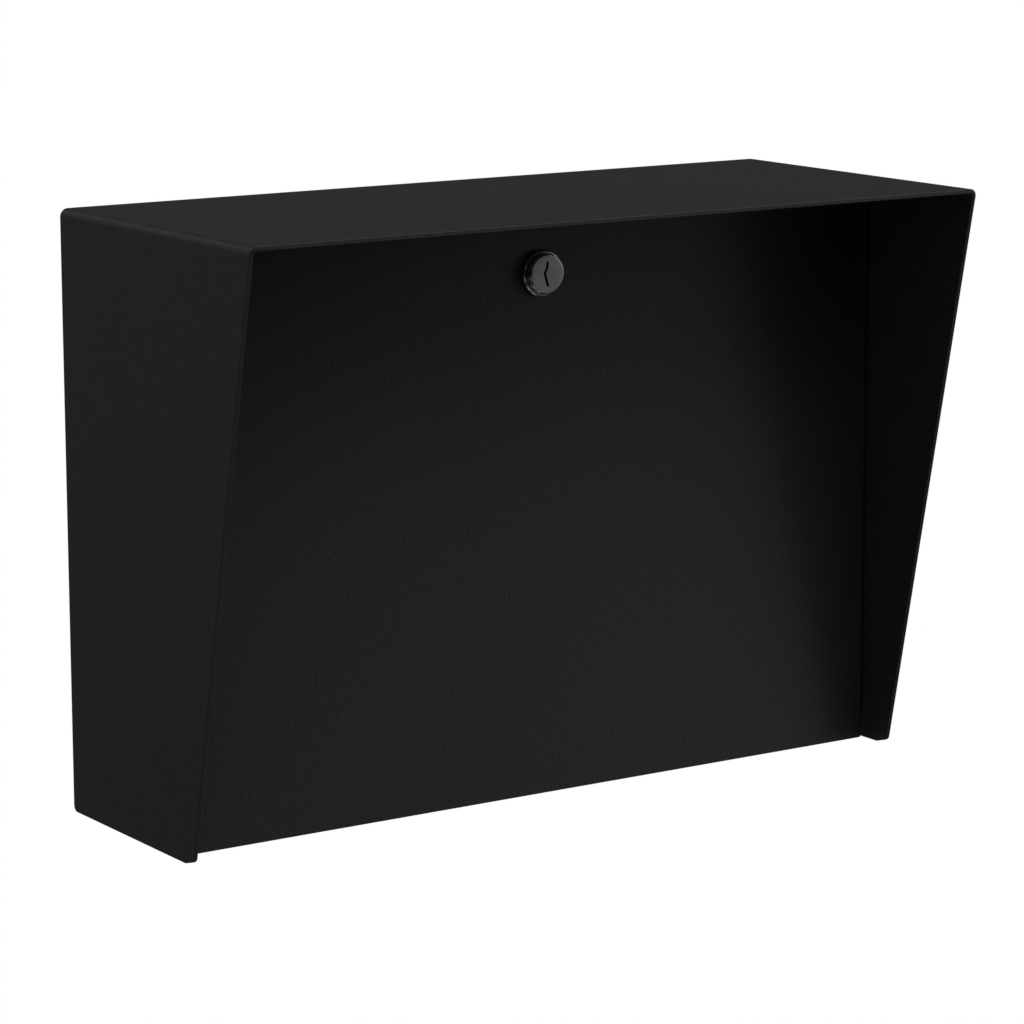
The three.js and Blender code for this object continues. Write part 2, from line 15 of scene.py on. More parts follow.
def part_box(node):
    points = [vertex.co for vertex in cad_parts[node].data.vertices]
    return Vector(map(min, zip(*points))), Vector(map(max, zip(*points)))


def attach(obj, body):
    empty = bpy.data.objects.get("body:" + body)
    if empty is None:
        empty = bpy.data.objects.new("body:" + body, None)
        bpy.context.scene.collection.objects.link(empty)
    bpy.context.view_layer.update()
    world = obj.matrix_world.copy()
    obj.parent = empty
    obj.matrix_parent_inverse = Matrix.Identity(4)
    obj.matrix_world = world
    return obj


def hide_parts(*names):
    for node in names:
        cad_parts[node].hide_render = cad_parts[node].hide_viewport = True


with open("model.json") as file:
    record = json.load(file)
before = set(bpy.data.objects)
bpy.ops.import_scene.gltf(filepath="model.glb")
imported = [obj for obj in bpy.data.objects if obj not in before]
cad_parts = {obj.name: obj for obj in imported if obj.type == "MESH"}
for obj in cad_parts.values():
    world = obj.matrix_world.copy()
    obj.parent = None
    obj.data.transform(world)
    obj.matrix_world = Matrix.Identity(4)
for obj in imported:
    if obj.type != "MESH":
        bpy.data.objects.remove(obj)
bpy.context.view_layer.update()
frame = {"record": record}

MM = 0.001

# ---- Sizes that the frame's boxes don't give -------------------------------------------------

SHEET = 1.9 * MM
HOOD_BEND = 3.5 * MM  # outside radius of the hood's bends
PAN_BEND = 3.5 * MM
DOOR_BEND = 2.5 * MM
BOTTOM_DEPTH = 102.5 * MM  # wall to where the sloped front edge reaches the bottom
BACK_CORNER = 2.7 * MM
TOE_LENGTH = 7 * MM
TOE_RISE = 2 * MM
TOE_CORNER = 2.5 * MM
PAINTED_EDGE = 0.35 * MM  # powder coat rounds every cut edge
PLATED_EDGE = 0.12 * MM
LEAF_EDGE = 0.15 * MM
MERGE_DISTANCE = 1e-6
TOLERANCE = 0.01 * MM

WALL_HOLE_RADIUS = 3.5 * MM
WALL_HOLE_INSET = Vector((50 * MM, 38 * MM))
WEEP_HOLE_RADIUS = 3 * MM
WEEP_HOLE_SPACING = 110 * MM
WEEP_HOLE_Y = -30 * MM
FLOOR_WING_SPAN = (-50 * MM, -17 * MM)  # y from its front to its back
RETURN_RELIEF = 12 * MM
BUMPER_ROUNDING = 0.9 * MM
BUMPER_EDGE = 0.2 * MM

KNUCKLE_COUNT = 13
KNUCKLE_GAP = 0.3 * MM
LEAF = 1.2 * MM
LEAF_GAP = 0.3 * MM  # leaf to the other leaf's knuckles
BORE_RADIUS = 1.7 * MM
PIN_CHAMFER = 0.4 * MM

SCREW_COUNT = 5
M4_RADIUS = 2 * MM
M4_HOLE_RADIUS = 2.25 * MM
M4_NUT_BORE = 2.1 * MM
M4_NUT_EDGE = 0.3 * MM
M4_HEAD = 2.3 * MM
SCREW_PITCH = 0.7 * MM
SCREW_THREAD_START = 0.2 * MM
SCREW_THREAD_DEPTH = 0.22 * MM

FACE_CORNER = 0.7 * MM
FACE_BACK_GAP = 0.3 * MM
RIM_HEIGHT = 2.4 * MM
RIM_ROUNDING = 1 * MM
RIM_INNER_ROUNDING = 0.2 * MM
RIM_BACK_CHAMFER = 0.15 * MM
GROOVE_RADIUS = 8.65 * MM
GROOVE_DEPTH = 0.9 * MM
BARREL_RADIUS = 8 * MM
BARREL_FLAT = 7 * MM
BARREL_CHAMFER = 0.4 * MM
BARREL_HOLE_CLEARANCE = 0.15 * MM
BARREL_RING_CLEARANCE = 0.1 * MM
BARREL_NUT_EDGE = 0.5 * MM
PLUG_RADIUS = 6 * MM
PLUG_CLEARANCE = 0.1 * MM
THREAD_PITCH = 1 * MM
THREAD_DEPTH = 0.45 * MM
THREAD_START = 1.2 * MM
THREAD_RUN_OUT = 2 * MM
TANG = 7 * MM
TANG_CLEARANCE = 0.12 * MM
LUG_LENGTH = 1.5 * MM
LUG_CLEARANCE = 0.35 * MM  # between the lug and the plug
LUG_ARC = (196, 434)  # degrees round the lock axis
SINK = 0.2 * MM  # how far a joined shape reaches into its neighbour
CAM_HALF_WIDTH = 6 * MM
CAM_TIP_CORNER = 2.5 * MM
CAM_EDGE = 0.25 * MM
CAM_SCREW_RADIUS = 2.4 * MM
CAM_SCREW_HEAD = 2.6 * MM
CAM_WASHER_BORE = 2.65 * MM
KEYWAY_WIDTH = 1.25 * MM
KEYWAY_DEPTH = 13 * MM
# Middle line of the keyway from its top to its bottom, as x and height on the lock axis
KEYWAY_LINE = [(0, 5.2), (-0.25, 2.6), (-1.35, 0.5), (-0.85, -1.6), (0.25, -5.2)]

# ---- Studio and camera -----------------------------------------------------------------------

FLOOR_DROP = 320 * MM  # box's bottom edge to the studio floor
FLOOR_SIZE = 60

VIEW_ANGLES = (-33.655, 10.948, -0.111)  # degrees to the right of the front, up, and of roll
VIEW_TARGET = (0.1716, 0.4087)  # across, and up from the bottom edge, in box heights
VIEW_DISTANCE = 6.864  # in box heights
VIEW_LENS = 137.46
VIEW_FAR_END = 200

OCTANT_BLEND = 0.25  # how far the light of one octant fades into the next
# Light that reaches the object: strength by octant, as the signs of x, y and z
SURROUND = [
    ((-1, 1, -1), 0.08),
    ((-1, 1, 1), 0.225),
    ((1, 1, -1), 0.18),
    ((1, 1, 1), 0.035),
]
# Soft glows: degrees to the right of the front, degrees up, inner and outer half angle, strength
GLOWS = [
    (-167, 33, 2, 8, 0.9),
    (-65, -25, 3, 12, 0.8),
    (-45, -58, 4, 14, 1.0),
    (0, -82, 4, 14, 1.0),
    (-40, 35, 10, 28, 0.31),
    (20, 65, 10, 28, 1.3),
    (36, -20, 10, 28, 0.13),
    (65, 10, 10, 28, 1.02),
    (65, 40, 10, 28, 1.14),
]


def box_of(node):
    return tuple(Vector(corner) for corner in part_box(node))


hood_low, hood_high = box_of("hood_wrap")
door_low, door_high = box_of("front_door")
housing_low, housing_high = box_of("lock_housing")
plug_low, plug_high = box_of("lock_plug")
pin_low, pin_high = box_of("hinge_pin")
hinge_axis = (pin_low + pin_high) / 2
lock_z = (housing_low.z + housing_high.z) / 2
KNUCKLE_RADIUS = BORE_RADIUS + LEAF


# ---- Materials -------------------------------------------------------------------------------


class Finish:
    """A Principled material whose colour, roughness and relief come from Object coordinates."""

    def __init__(self, name, colour, roughness, metallic=0.0, specular=0.5):
        self.material = bpy.data.materials.new(name)
        self.material.use_nodes = True
        self.tree = self.material.node_tree
        self.shader = self.tree.nodes["Principled BSDF"]
        self.shader.inputs["Base Color"].default_value = (*colour, 1)
        self.shader.inputs["Roughness"].default_value = roughness
        self.shader.inputs["Metallic"].default_value = metallic
        self.shader.inputs["Specular IOR Level"].default_value = specular
        self.place = self.tree.nodes.new("ShaderNodeTexCoord").outputs["Object"]
        self.normal = None

    def noise(self, scale, detail=2.0, stretch=None):
        node = self.tree.nodes.new("ShaderNodeTexNoise")
        node.inputs["Scale"].default_value = scale
        node.inputs["Detail"].default_value = detail
        source = self.place
        if stretch:
            mapping = self.tree.nodes.new("ShaderNodeMapping")
            mapping.inputs["Scale"].default_value = stretch
            self.tree.links.new(source, mapping.inputs["Vector"])
            source = mapping.outputs["Vector"]
        self.tree.links.new(source, node.inputs["Vector"])
        return node.outputs["Fac"]

    def spread(self, value, low, high, source_low=0.3, source_high=0.7):
        node = self.tree.nodes.new("ShaderNodeMapRange")
        node.inputs["From Min"].default_value = source_low
        node.inputs["From Max"].default_value = source_high
        node.inputs["To Min"].default_value = low
        node.inputs["To Max"].default_value = high
        self.tree.links.new(value, node.inputs["Value"])
        return node.outputs["Result"]

    def colours(self, value, dark, light):
        node = self.tree.nodes.new("ShaderNodeValToRGB")
        node.color_ramp.elements[0].position = 0.3
        node.color_ramp.elements[0].color = (*dark, 1)
        node.color_ramp.elements[1].position = 0.7
        node.color_ramp.elements[1].color = (*light, 1)
        self.tree.links.new(value, node.inputs["Fac"])
        self.tree.links.new(node.outputs["Color"], self.shader.inputs["Base Color"])

    def roughness(self, value, low, high):
        self.tree.links.new(self.spread(value, low, high), self.shader.inputs["Roughness"])

    def relief(self, value, height, strength=1.0):
        node = self.tree.nodes.new("ShaderNodeBump")
        node.inputs["Distance"].default_value = height
        node.inputs["Strength"].default_value = strength
        self.tree.links.new(value, node.inputs["Height"])
        if self.normal:
            self.tree.links.new(self.normal, node.inputs["Normal"])
        self.normal = node.outputs["Normal"]
        self.tree.links.new(self.normal, self.shader.inputs["Normal"])


def powder_coat():
    finish = Finish("powder_coat_black", (0.075, 0.075, 0.076), 0.4, specular=0.5)
    grain = finish.noise(1100, detail=3)
    pebble = finish.noise(420, detail=2)
    cloud = finish.noise(9, detail=3)
    finish.colours(grain, (0.052, 0.052, 0.053), (0.098, 0.098, 0.099))
    finish.roughness(cloud, 0.37, 0.43)
    finish.relief(pebble, 0.00008, 0.5)
    finish.relief(grain, 0.00016, 0.9)
    return finish.material


def lock_nickel():
    finish = Finish("lock_satin_nickel", (0.62, 0.61, 0.59), 0.28, metallic=1)
    grain = finish.noise(900, detail=3)
    cast = finish.noise(160, detail=2)
    finish.colours(cast, (0.55, 0.54, 0.52), (0.68, 0.67, 0.65))
    finish.roughness(grain, 0.16, 0.24)
    finish.relief(cast, 0.00008, 0.3)
    return finish.material


def keyway_dark():
    finish = Finish("keyway_shadow_brass", (0.02, 0.018, 0.014), 0.6, metallic=1)
    grain = finish.noise(700)
    finish.roughness(grain, 0.5, 0.7)
    finish.relief(grain, 0.0001, 0.4)
    return finish.material


def zinc_plate():
    finish = Finish("zinc_plate", (0.55, 0.56, 0.57), 0.33, metallic=1)
    mottle = finish.noise(55, detail=5)
    scratch = finish.noise(260, detail=3, stretch=(0.06, 1, 1))
    finish.colours(mottle, (0.46, 0.47, 0.48), (0.63, 0.635, 0.645))
    finish.roughness(scratch, 0.27, 0.42)
    finish.relief(scratch, 0.00004, 0.35)
    return finish.material


def bumper_rubber():
    finish = Finish("bumper_rubber", (0.018, 0.018, 0.018), 0.85, specular=0.3)
    grain = finish.noise(650, detail=4)
    bloom = finish.noise(40, detail=3)
    finish.colours(bloom, (0.014, 0.014, 0.014), (0.027, 0.027, 0.026))
    finish.roughness(grain, 0.75, 0.95)
    finish.relief(grain, 0.0002, 0.5)
    return finish.material


COAT = powder_coat()
LOCK = lock_nickel()
KEYWAY = keyway_dark()
ZINC = zinc_plate()
RUBBER = bumper_rubber()


# ---- Modelling helpers -----------------------------------------------------------------------


def finish_piece(bm, name, nodes, material, edge=0.0, turn_out=True, smooth_angle=35, extra=()):
    """Makes the finished object for the CAD nodes that it replaces, on their body."""
    bmesh.ops.remove_doubles(bm, verts=bm.verts, dist=MERGE_DISTANCE)
    if turn_out:
        bmesh.ops.recalc_face_normals(bm, faces=bm.faces)
    for face in bm.faces:
        face.smooth = True
    mesh = bpy.data.meshes.new(name)
    bm.to_mesh(mesh)
    bm.free()
    for item in (material, *extra):
        mesh.materials.append(item)
    mesh.set_sharp_from_angle(angle=math.radians(smooth_angle))
    piece = bpy.data.objects.new(name, mesh)
    bpy.context.scene.collection.objects.link(piece)
    if edge:
        soften(piece, edge)
    bodies = frame["record"]["behaviour"]["bodies"]
    body = next(key for key, members in bodies.items() if nodes[0] in members)
    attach(piece, body)
    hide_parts(*nodes)
    return piece


def thicken(piece, thickness, edge):
    """Gives a folded skin its sheet thickness, inwards, and rounds the cut edges."""
    solid = piece.modifiers.new("sheet", "SOLIDIFY")
    solid.thickness = thickness
    solid.offset = -1
    solid.use_even_offset = True
    soften(piece, edge)


def soften(piece, width, segments=2):
    bevel = piece.modifiers.new("edges", "BEVEL")
    bevel.width = width
    bevel.segments = segments
    bevel.limit_method = "ANGLE"
    bevel.angle_limit = math.radians(40)
    bevel.harden_normals = True


def only(kind, geom):
    return [item for item in geom if isinstance(item, kind)]


def open_edges(geom):
    return [edge for edge in only(bmesh.types.BMEdge, geom) if edge.is_boundary]


def loop_of(bm, points):
    """Joins points into one closed loop of edges."""
    verts = [bm.verts.new(point) for point in points]
    return [bm.edges.new((verts[i - 1], verts[i])) for i in range(len(verts))]


def circle_edges(bm, radius, centre, axis, steps=32):
    """A loop of edges round an axis."""
    turn = Vector(axis).to_track_quat("Z", "Y").to_matrix().to_4x4()
    made = bmesh.ops.create_circle(
        bm, cap_ends=False, segments=steps, radius=radius, matrix=Matrix.Translation(centre) @ turn
    )
    return list({edge for vert in made["verts"] for edge in vert.link_edges})


def fill_between(bm, edges, normal):
    """Fills a flat outline, leaving open the loops that lie inside it."""
    made = bmesh.ops.triangle_fill(bm, use_beauty=True, use_dissolve=False, edges=edges, normal=normal)
    return only(bmesh.types.BMFace, made["geom"])


def pierce(bm, face, loops):
    """Opens loops of edges in one flat face."""
    normal = face.normal.copy()
    rim = list(face.edges)
    bmesh.ops.delete(bm, geom=[face], context="FACES_ONLY")
    return fill_between(bm, rim + [edge for loop in loops for edge in loop], normal)


def face_towards(bm, direction):
    """The largest face whose normal points in a direction."""
    bm.normal_update()
    facing = [face for face in bm.faces if face.normal.dot(Vector(direction)) > 0.99]
    return max(facing, key=lambda face: face.calc_area())


def spun(bm, profile, centre, axis, steps=48, closed=True):
    """Turns a profile of (radius, distance along the axis) once round an axis."""
    axis = Vector(axis)
    out = axis.orthogonal().normalized()
    verts = [bm.verts.new(centre + out * radius + axis * along) for radius, along in profile]
    pairs = list(zip(verts, verts[1:]))
    if closed:
        pairs.append((verts[-1], verts[0]))
    edges = [bm.edges.new(pair) for pair in pairs]
    bmesh.ops.spin(
        bm,
        geom=verts + edges,
        cent=centre,
        axis=axis,
        dvec=(0, 0, 0),
        angle=math.tau,
        steps=steps,
        use_merge=True,
        use_duplicate=False,
    )
    bmesh.ops.remove_doubles(bm, verts=bm.verts, dist=MERGE_DISTANCE)


def rounded(corner, radius, start, end, steps=5):
    """Points of an arc round a profile's corner, between two angles in degrees."""
    points = []
    for i in range(steps + 1):
        angle = math.radians(start + (end - start) * i / steps)
        points.append((corner[0] + radius * math.cos(angle), corner[1] + radius * math.sin(angle)))
    return points


def round_corner(bm, vert, radius):
    """Rounds one corner of a skin or an outline by a vertex bevel that reaches the arc's ends."""
    arms = [(edge.other_vert(vert).co - vert.co).normalized() for edge in vert.link_edges]
    reach = radius / math.tan(arms[0].angle(arms[1]) / 2)
    bmesh.ops.bevel(
        bm, geom=[vert], affect="VERTICES", offset=reach, offset_type="OFFSET",
        segments=6, profile=0.5, material=-1,
    )


def flat_plate(bm, outline, holes, depth, round_corners=()):
    """A flat piece from an outline in x and y, with holes as lists of points, z from 0 up.

    round_corners gives (corner number, radius) for the outline's rounded corners.
    """
    edges = loop_of(bm, [(x, y, 0) for x, y in outline])
    verts = list(bm.verts)
    bmesh.ops.contextual_create(bm, geom=edges)
    for number, radius in round_corners:
        round_corner(bm, verts[number], radius)
    face = max(bm.faces, key=lambda item: item.calc_area())
    faces = [face]
    if holes:
        loops = [loop_of(bm, [(x, y, 0) for x, y in hole]) for hole in holes]
        faces = pierce(bm, face, loops)
    lifted = bmesh.ops.extrude_face_region(bm, geom=faces)["geom"]
    bmesh.ops.translate(bm, verts=only(bmesh.types.BMVert, lifted), vec=(0, 0, depth))


def ring_points(radius, steps=32, centre=(0, 0)):
    angles = [math.tau * i / steps for i in range(steps)]
    return [(centre[0] + radius * math.cos(a), centre[1] + radius * math.sin(a)) for a in angles]


def square_points(half):
    return [(-half, -half), (half, -half), (half, half), (-half, half)]


# Turns a plate's x, y and z into the rows' axes: its face looks along the named axis.
FACING_Y = Matrix(((1, 0, 0, 0), (0, 0, -1, 0), (0, 1, 0, 0), (0, 0, 0, 1)))
FACING_X = Matrix(((0, 0, 1, 0), (1, 0, 0, 0), (0, 1, 0, 0), (0, 0, 0, 1)))


def within_flats(x, flat=BARREL_FLAT):
    return max(-flat, min(flat, x))


def placed(bm, matrix, offset):
    bmesh.ops.transform(bm, matrix=Matrix.Translation(offset) @ matrix, verts=bm.verts)


def open_box(bm, low, high, open_sides):
    """A box without the faces that look along the given directions."""
    size = high - low
    middle = (low + high) / 2
    bmesh.ops.create_cube(bm, size=1, matrix=Matrix.Translation(middle) @ Matrix.Diagonal((*size, 1)))
    bm.normal_update()
    gone = [
        face for face in bm.faces if any(face.normal.dot(Vector(side)) > 0.9 for side in open_sides)
    ]
    bmesh.ops.delete(bm, geom=gone, context="FACES")


def fold(bm, radius, segments=6):
    """Rounds every edge between two faces of a skin, as a press brake would."""
    edges = [edge for edge in bm.edges if len(edge.link_faces) == 2]
    bmesh.ops.bevel(
        bm, geom=edges, affect="EDGES", offset=radius, offset_type="OFFSET",
        segments=segments, profile=0.5, material=-1,
    )


def turn_skin(bm, direction):
    """Turns a skin's faces so that its largest face across a direction looks along it."""
    bmesh.ops.recalc_face_normals(bm, faces=bm.faces)
    bm.normal_update()
    along = Vector(direction)
    widest = max(bm.faces, key=lambda face: abs(face.normal.dot(along)) * face.calc_area())
    if widest.normal.dot(along) < 0:
        bmesh.ops.reverse_faces(bm, faces=bm.faces)


# ---- The box ---------------------------------------------------------------------------------


def hood_shell():
    """One sheet over the top and both sides, cut to the sloping profile of the sides."""
    bm = bmesh.new()
    corners = [
        (hood_low.x, hood_high.y, hood_low.z),
        (hood_low.x, hood_high.y, hood_high.z),
        (hood_high.x, hood_high.y, hood_high.z),
        (hood_high.x, hood_high.y, hood_low.z),
    ]
    verts = [bm.verts.new(corner) for corner in corners]
    edges = [bm.edges.new(pair) for pair in zip(verts, verts[1:])]
    made = bmesh.ops.extrude_edge_only(bm, edges=edges)["geom"]
    front = only(bmesh.types.BMVert, made)
    bmesh.ops.translate(bm, verts=front, vec=(0, hood_low.y - hood_high.y, 0))
    turn_skin(bm, (0, 0, 1))
    fold(bm, HOOD_BEND, segments=10)
    height = hood_high.z - hood_low.z
    slope = (-hood_low.y - BOTTOM_DEPTH) / height
    cuts = [
        (Vector((0, hood_low.y, hood_high.z)), Vector((0, -1, -slope))),
        (
            Vector((0, -BOTTOM_DEPTH - slope * TOE_RISE, hood_low.z + TOE_RISE)),
            Vector((0, -TOE_RISE, -TOE_LENGTH)),
        ),
    ]
    for point, normal in cuts:
        bmesh.ops.bisect_plane(
            bm,
            geom=[*bm.verts, *bm.edges, *bm.faces],
            dist=MERGE_DISTANCE,
            plane_co=point,
            plane_no=normal.normalized(),
            clear_outer=True,
        )
    round_profile_corners(bm)
    shell = finish_piece(bm, "hood_shell", ["hood_wrap"], COAT, turn_out=False)
    thicken(shell, SHEET, PAINTED_EDGE)


def round_profile_corners(bm):
    """Rounds the bottom back corner and the toe of each side."""
    toe = Vector((-BOTTOM_DEPTH, hood_low.z + TOE_RISE))
    back = Vector((hood_high.y, hood_low.z))
    for place, radius in ((toe, TOE_CORNER), (back, BACK_CORNER)):
        for side in (hood_low.x, hood_high.x):
            vert = min(
                bm.verts,
                key=lambda item: abs(item.co.x - side) + (Vector((item.co.y, item.co.z)) - place).length,
            )
            round_corner(bm, vert, radius)


def back_pan():
    low, high = box_of("back_plate")
    bm = bmesh.new()
    open_box(bm, low, high, [(0, -1, 0)])
    fold(bm, PAN_BEND)
    across = hood_high.x - WALL_HOLE_INSET.x
    up = hood_high.z - WALL_HOLE_INSET.y
    loops = [
        circle_edges(bm, WALL_HOLE_RADIUS, (x, high.y, z), (0, 1, 0), steps=24)
        for x in (-across, across)
        for z in (-up, up)
    ]
    pierce(bm, face_towards(bm, (0, 1, 0)), loops)
    turn_skin(bm, (0, 1, 0))
    thicken(finish_piece(bm, "back_pan", ["back_plate"], COAT, turn_out=False), SHEET, PAINTED_EDGE)


def screw_places():
    spots = []
    for i in range(1, SCREW_COUNT + 1):
        low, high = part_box(f"hinge_screw_{i}")
        spots.append(((low[0] + high[0]) / 2, (low[1] + high[1]) / 2))
    return spots


def floor_pan():
    low, high = box_of("floor_plate")
    inner_x = high.x - SHEET - PAN_BEND
    bm = bmesh.new()
    open_box(bm, Vector((-inner_x, low.y, low.z)), Vector((inner_x, high.y, high.z)),
             [(0, 0, 1), (0, -1, 0), (1, 0, 0), (-1, 0, 0)])
    fold(bm, PAN_BEND)
    loops = [
        circle_edges(bm, M4_HOLE_RADIUS, (x, y, low.z), (0, 0, 1), steps=20)
        for x, y in screw_places()
    ]
    loops += [
        circle_edges(bm, WEEP_HOLE_RADIUS, (i * WEEP_HOLE_SPACING, WEEP_HOLE_Y, low.z), (0, 0, 1), steps=24)
        for i in (-1, 0, 1)
    ]
    pierce(bm, face_towards(bm, (0, 0, -1)), loops)
    turn_skin(bm, (0, 0, -1))
    plate = finish_piece(bm, "floor_pan", ["floor_plate"], COAT, turn_out=False)
    thicken(plate, SHEET, PAINTED_EDGE)
    for side, name in ((-1, "left"), (1, "right")):
        floor_wing(side, name, inner_x, low, high)


def floor_wing(side, name, inner_x, low, high):
    """The flange folded up along one side of the floor, with the strip that joins it."""
    bm = bmesh.new()
    outline = [
        (inner_x, low.z),
        (high.x, low.z),
        (high.x, high.z),
        (high.x - SHEET, high.z),
        (high.x - SHEET, low.z + SHEET),
        (inner_x, low.z + SHEET),
    ]
    front, back = FLOOR_WING_SPAN
    flat_plate(bm, outline, [], back - front, [(1, PAN_BEND), (4, PAN_BEND - SHEET)])
    placed(bm, FACING_Y, (0, back, 0))
    if side < 0:
        bmesh.ops.scale(bm, vec=(-1, 1, 1), verts=bm.verts)
    finish_piece(bm, f"floor_wing_{name}", ["floor_plate"], COAT, edge=PAINTED_EDGE)


def jamb(side, name):
    low, high = box_of(f"{name}_jamb")
    width = high.x - low.x
    depth = high.y - low.y
    outline = [(0, 0), (0, depth), (-SHEET, depth), (-SHEET, SHEET), (-width, SHEET), (-width, 0)]
    bm = bmesh.new()
    flat_plate(bm, outline, [], high.z - low.z, [(3, PAN_BEND - SHEET), (0, PAN_BEND)])
    placed(bm, Matrix.Diagonal((side, 1, 1, 1)), (side * max(abs(low.x), abs(high.x)), low.y, low.z))
    finish_piece(bm, f"jamb_{name}", [f"{name}_jamb"], COAT, edge=PAINTED_EDGE)


def catch_rail():
    low, high = box_of("strike_rail")
    depth = high.y - low.y
    drop = low.z - high.z
    outline = [(0, drop), (SHEET, drop), (SHEET, -SHEET), (depth, -SHEET), (depth, 0), (0, 0)]
    bm = bmesh.new()
    flat_plate(bm, outline, [], high.x - low.x, [(2, PAN_BEND - SHEET), (5, PAN_BEND)])
    placed(bm, FACING_X, (low.x, low.y, high.z))
    finish_piece(bm, "catch_rail", ["strike_rail"], COAT, edge=PAINTED_EDGE)


def bumper(name):
    low, high = box_of(f"{name}_bumper")
    bm = bmesh.new()
    open_box(bm, low, high, [])
    edges = [edge for edge in bm.edges if all(vert.co.y < low.y + TOLERANCE for vert in edge.verts)]
    bmesh.ops.bevel(
        bm, geom=edges, affect="EDGES", offset=BUMPER_ROUNDING, offset_type="OFFSET",
        segments=5, profile=0.5, material=-1,
    )
    finish_piece(bm, f"bumper_{name}", [f"{name}_bumper"], RUBBER, edge=BUMPER_EDGE)


# ---- The door --------------------------------------------------------------------------------


def door_pan():
    bm = bmesh.new()
    open_box(bm, door_low, door_high, [(0, 1, 0), (0, 0, -1)])
    fold(bm, DOOR_BEND)
    hole_radius = BARREL_RADIUS + BARREL_HOLE_CLEARANCE
    hole = circle_edges(bm, hole_radius, (0, door_low.y, lock_z), (0, -1, 0), steps=48)
    flat = BARREL_FLAT + BARREL_HOLE_CLEARANCE
    for vert in {vert for edge in hole for vert in edge.verts}:
        vert.co.x = within_flats(vert.co.x, flat)
    pierce(bm, face_towards(bm, (0, -1, 0)), [hole])
    turn_skin(bm, (0, -1, 0))
    relieve_returns(bm)
    thicken(finish_piece(bm, "door_pan", ["front_door"], COAT, turn_out=False), SHEET, PAINTED_EDGE)


def relieve_returns(bm):
    """Cuts the side returns away above the door's bottom edge, clear of the hinge."""
    level = door_low.z + RETURN_RELIEF
    side_faces = [
        face for face in bm.faces
        if abs(face.normal.x) > 0.99 and face.calc_center_median().y > door_low.y + DOOR_BEND
    ]
    geom = side_faces + list({edge for face in side_faces for edge in face.edges})
    geom += list({vert for face in side_faces for vert in face.verts})
    bmesh.ops.bisect_plane(bm, geom=geom, dist=MERGE_DISTANCE, plane_co=(0, 0, level), plane_no=(0, 0, 1))
    gone = [
        face for face in bm.faces
        if abs(face.normal.x) > 0.99
        and face.calc_center_median().y > door_low.y + DOOR_BEND
        and face.calc_center_median().z < level
    ]
    bmesh.ops.delete(bm, geom=gone, context="FACES")


# ---- The hinge -------------------------------------------------------------------------------


def knuckle_spans(first):
    """Start and end of each knuckle that belongs to one leaf."""
    pitch = (pin_high.x - pin_low.x) / KNUCKLE_COUNT
    spans = []
    for i in range(first, KNUCKLE_COUNT, 2):
        start = pin_low.x + i * pitch
        spans.append((start + KNUCKLE_GAP / 2, start + pitch - KNUCKLE_GAP / 2))
    return spans


def leaf_outline(first, gap, reach):
    """A leaf seen flat: x along the hinge and y from the hinge axis, with a tab per knuckle."""
    outline = [(pin_high.x, reach), (pin_low.x, reach), (pin_low.x, gap)]
    for start, end in knuckle_spans(first):
        if start - pin_low.x < KNUCKLE_GAP:
            outline[-1] = (start, 0)
            outline += [(end, 0), (end, gap)]
        elif pin_high.x - end < KNUCKLE_GAP:
            outline += [(start, gap), (start, 0), (end, 0)]
        else:
            outline += [(start, gap), (start, 0), (end, 0), (end, gap)]
    if outline[-1][1] > 0:
        outline.append((pin_high.x, gap))
    return outline


def add_knuckles(bm, first):
    centre = Vector((0, hinge_axis.y, hinge_axis.z))
    for start, end in knuckle_spans(first):
        profile = [
            (BORE_RADIUS, start), (KNUCKLE_RADIUS, start), (KNUCKLE_RADIUS, end), (BORE_RADIUS, end)
        ]
        tube = bmesh.new()
        spun(tube, profile, centre, (1, 0, 0), steps=32)
        bmesh.ops.recalc_face_normals(tube, faces=tube.faces)
        merge_into(bm, tube)


def merge_into(bm, other):
    mesh = bpy.data.meshes.new("joined")
    other.to_mesh(mesh)
    other.free()
    bm.from_mesh(mesh)
    bpy.data.meshes.remove(mesh)


def hinge_leaves():
    gap = KNUCKLE_RADIUS + LEAF_GAP
    low, high = box_of("hinge_door_leaf")
    bm = bmesh.new()
    flat_plate(bm, leaf_outline(1, gap, high.z - hinge_axis.z), [], LEAF)
    placed(bm, FACING_Y, (0, low.y + LEAF, hinge_axis.z))
    bmesh.ops.recalc_face_normals(bm, faces=bm.faces)
    add_knuckles(bm, 1)
    finish_piece(bm, "hinge_leaf_on_door", ["hinge_door_leaf"], ZINC, edge=LEAF_EDGE)

    back = box_of("hinge_body_leaf")[1].y
    holes = [ring_points(M4_HOLE_RADIUS, 20, (x, y - hinge_axis.y)) for x, y in screw_places()]
    bm = bmesh.new()
    flat_plate(bm, leaf_outline(0, gap, back - hinge_axis.y), holes, LEAF)
    placed(bm, Matrix.Identity(4), (0, hinge_axis.y, hinge_axis.z + KNUCKLE_RADIUS - LEAF))
    bmesh.ops.recalc_face_normals(bm, faces=bm.faces)
    add_knuckles(bm, 0)
    finish_piece(bm, "hinge_leaf_on_box", ["hinge_body_leaf"], ZINC, edge=LEAF_EDGE)


def hinge_wire():
    radius = (pin_high.z - pin_low.z) / 2
    profile = [
        (0, pin_low.x), (radius - PIN_CHAMFER, pin_low.x), (radius, pin_low.x + PIN_CHAMFER),
        (radius, pin_high.x - PIN_CHAMFER), (radius - PIN_CHAMFER, pin_high.x), (0, pin_high.x),
    ]
    bm = bmesh.new()
    spun(bm, profile, Vector((0, hinge_axis.y, hinge_axis.z)), (1, 0, 0), steps=32, closed=False)
    finish_piece(bm, "hinge_wire", ["hinge_pin"], ZINC)


# ---- Screws and nuts -------------------------------------------------------------------------


